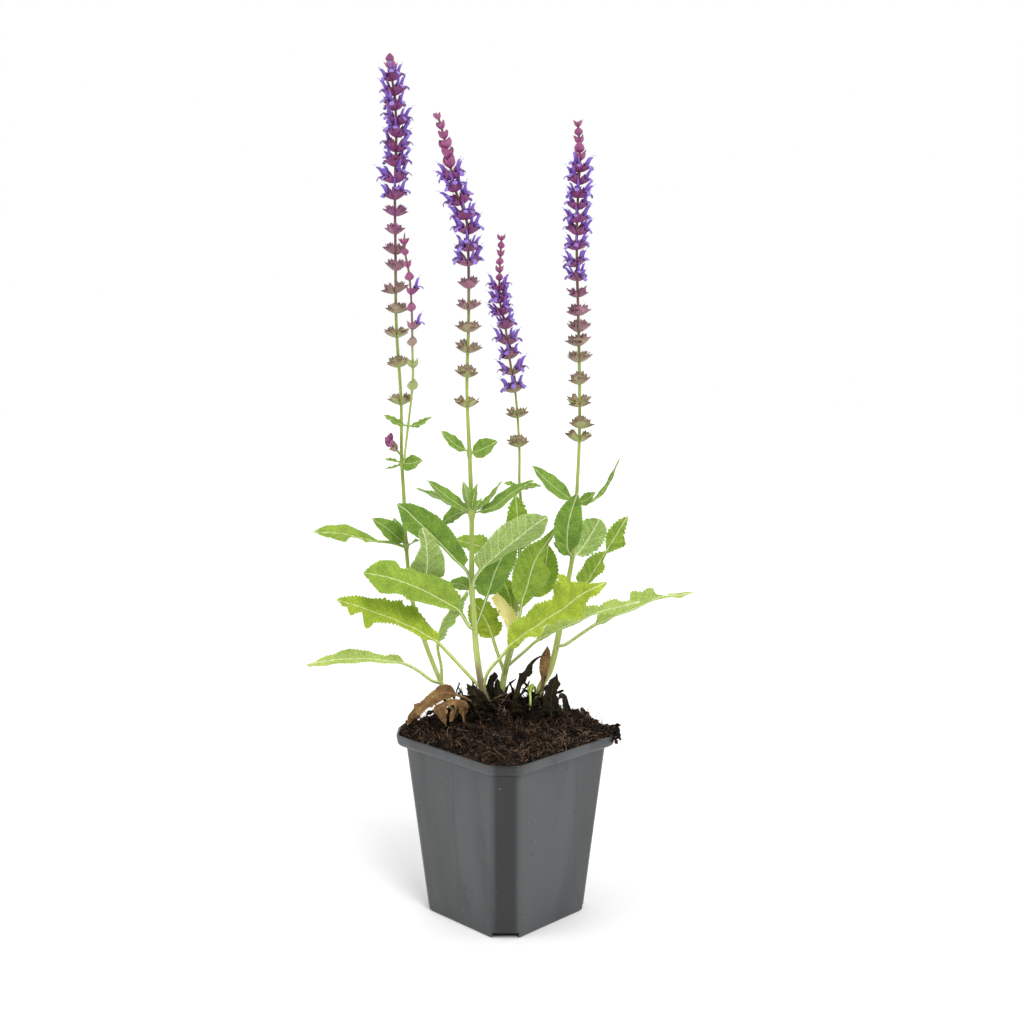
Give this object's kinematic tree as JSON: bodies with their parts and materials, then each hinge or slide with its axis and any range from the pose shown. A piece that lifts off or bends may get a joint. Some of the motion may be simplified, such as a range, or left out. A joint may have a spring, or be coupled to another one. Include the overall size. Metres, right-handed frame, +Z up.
{
  "type": "perennial salvia in a nursery pot",
  "caption": "Potted perennial salvia: a square chamfered nursery pot filled with peat, toothed leaves on square stems, and tall violet flower spikes.",
  "frame": {"origin": "on the floor under the middle of the pot, at the flat face it rests on", "axes": "+Z up along the stems; the pot's four faces are square to X and Y; the fullest side, with the big front leaf, looks towards +X -Y"},
  "size_m": [0.1438, 0.1353, 0.4341],
  "materials": {
    "pot_plastic": "thin moulded polypropylene, satin to glossy, faint vertical streaks",
    "peat": null,
    "stem": null,
    "leaf_fresh": null,
    "leaf_mid": null,
    "leaf_dark": null,
    "leaf_pale": null,
    "leaf_yellow": null,
    "leaf_dry": null,
    "leaf_black": null,
    "bud_magenta": null,
    "petal_violet": null,
    "calyx_spent": null
  },
  "bodies": {
    "root": {"dry_leaf_back": "leaf_black", "dry_leaf_curled": "leaf_dry", "dry_leaf_dark": "leaf_black", "dry_leaf_front": "leaf_dry", "dry_leaf_low": "leaf_black", "dry_leaf_standing": "leaf_black", "dry_leaf_strip": "leaf_dry", "dry_leaf_stump": "leaf_dry", "dry_sheath": "leaf_dry", "leaf_centre_basal": "leaf_fresh", "leaf_centre_low_left": "leaf_mid", "leaf_centre_low_right": "leaf_dark", "leaf_centre_mid_left": "leaf_dark", "leaf_centre_mid_right": "leaf_pale", "leaf_far_right": "leaf_pale", "leaf_front_big": "leaf_fresh", "leaf_left_behind": "leaf_pale", "leaf_left_long": "leaf_mid", "leaf_left_low": "leaf_fresh", "leaf_left_narrow": "leaf_mid", "leaf_right_front": "leaf_dark", "leaf_right_round": "leaf_pale", "leaf_right_twisted": "leaf_mid", "leaf_short_basal": "leaf_fresh", "leaf_short_behind_left": "leaf_mid", "leaf_short_behind_right": "leaf_fresh", "leaf_short_dark_back": "leaf_dark", "leaf_short_tall": "leaf_mid", "leaf_small_crinkled": "leaf_fresh", "leaf_under_front": "leaf_mid", "leaf_yellow": "leaf_yellow", "new_leaflet": "leaf_fresh", "pot": "pot_plastic", "soil": "peat", "spike_axil_buds": "bud_magenta", "spike_centre_buds": "bud_magenta", "spike_centre_flowers": "petal_violet", "spike_centre_spent": "calyx_spent", "spike_left_buds": "bud_magenta", "spike_left_flowers": "petal_violet", "spike_left_spent": "calyx_spent", "spike_right_buds": "bud_magenta", "spike_right_flowers": "petal_violet", "spike_right_spent": "calyx_spent", "spike_short_buds": "bud_magenta", "spike_short_flowers": "petal_violet", "spike_short_spent": "calyx_spent", "spike_side_buds": "bud_magenta", "stem_centre": "stem", "stem_left": "stem", "stem_right": "stem", "stem_short": "stem"}
  },
  "joints": []
}
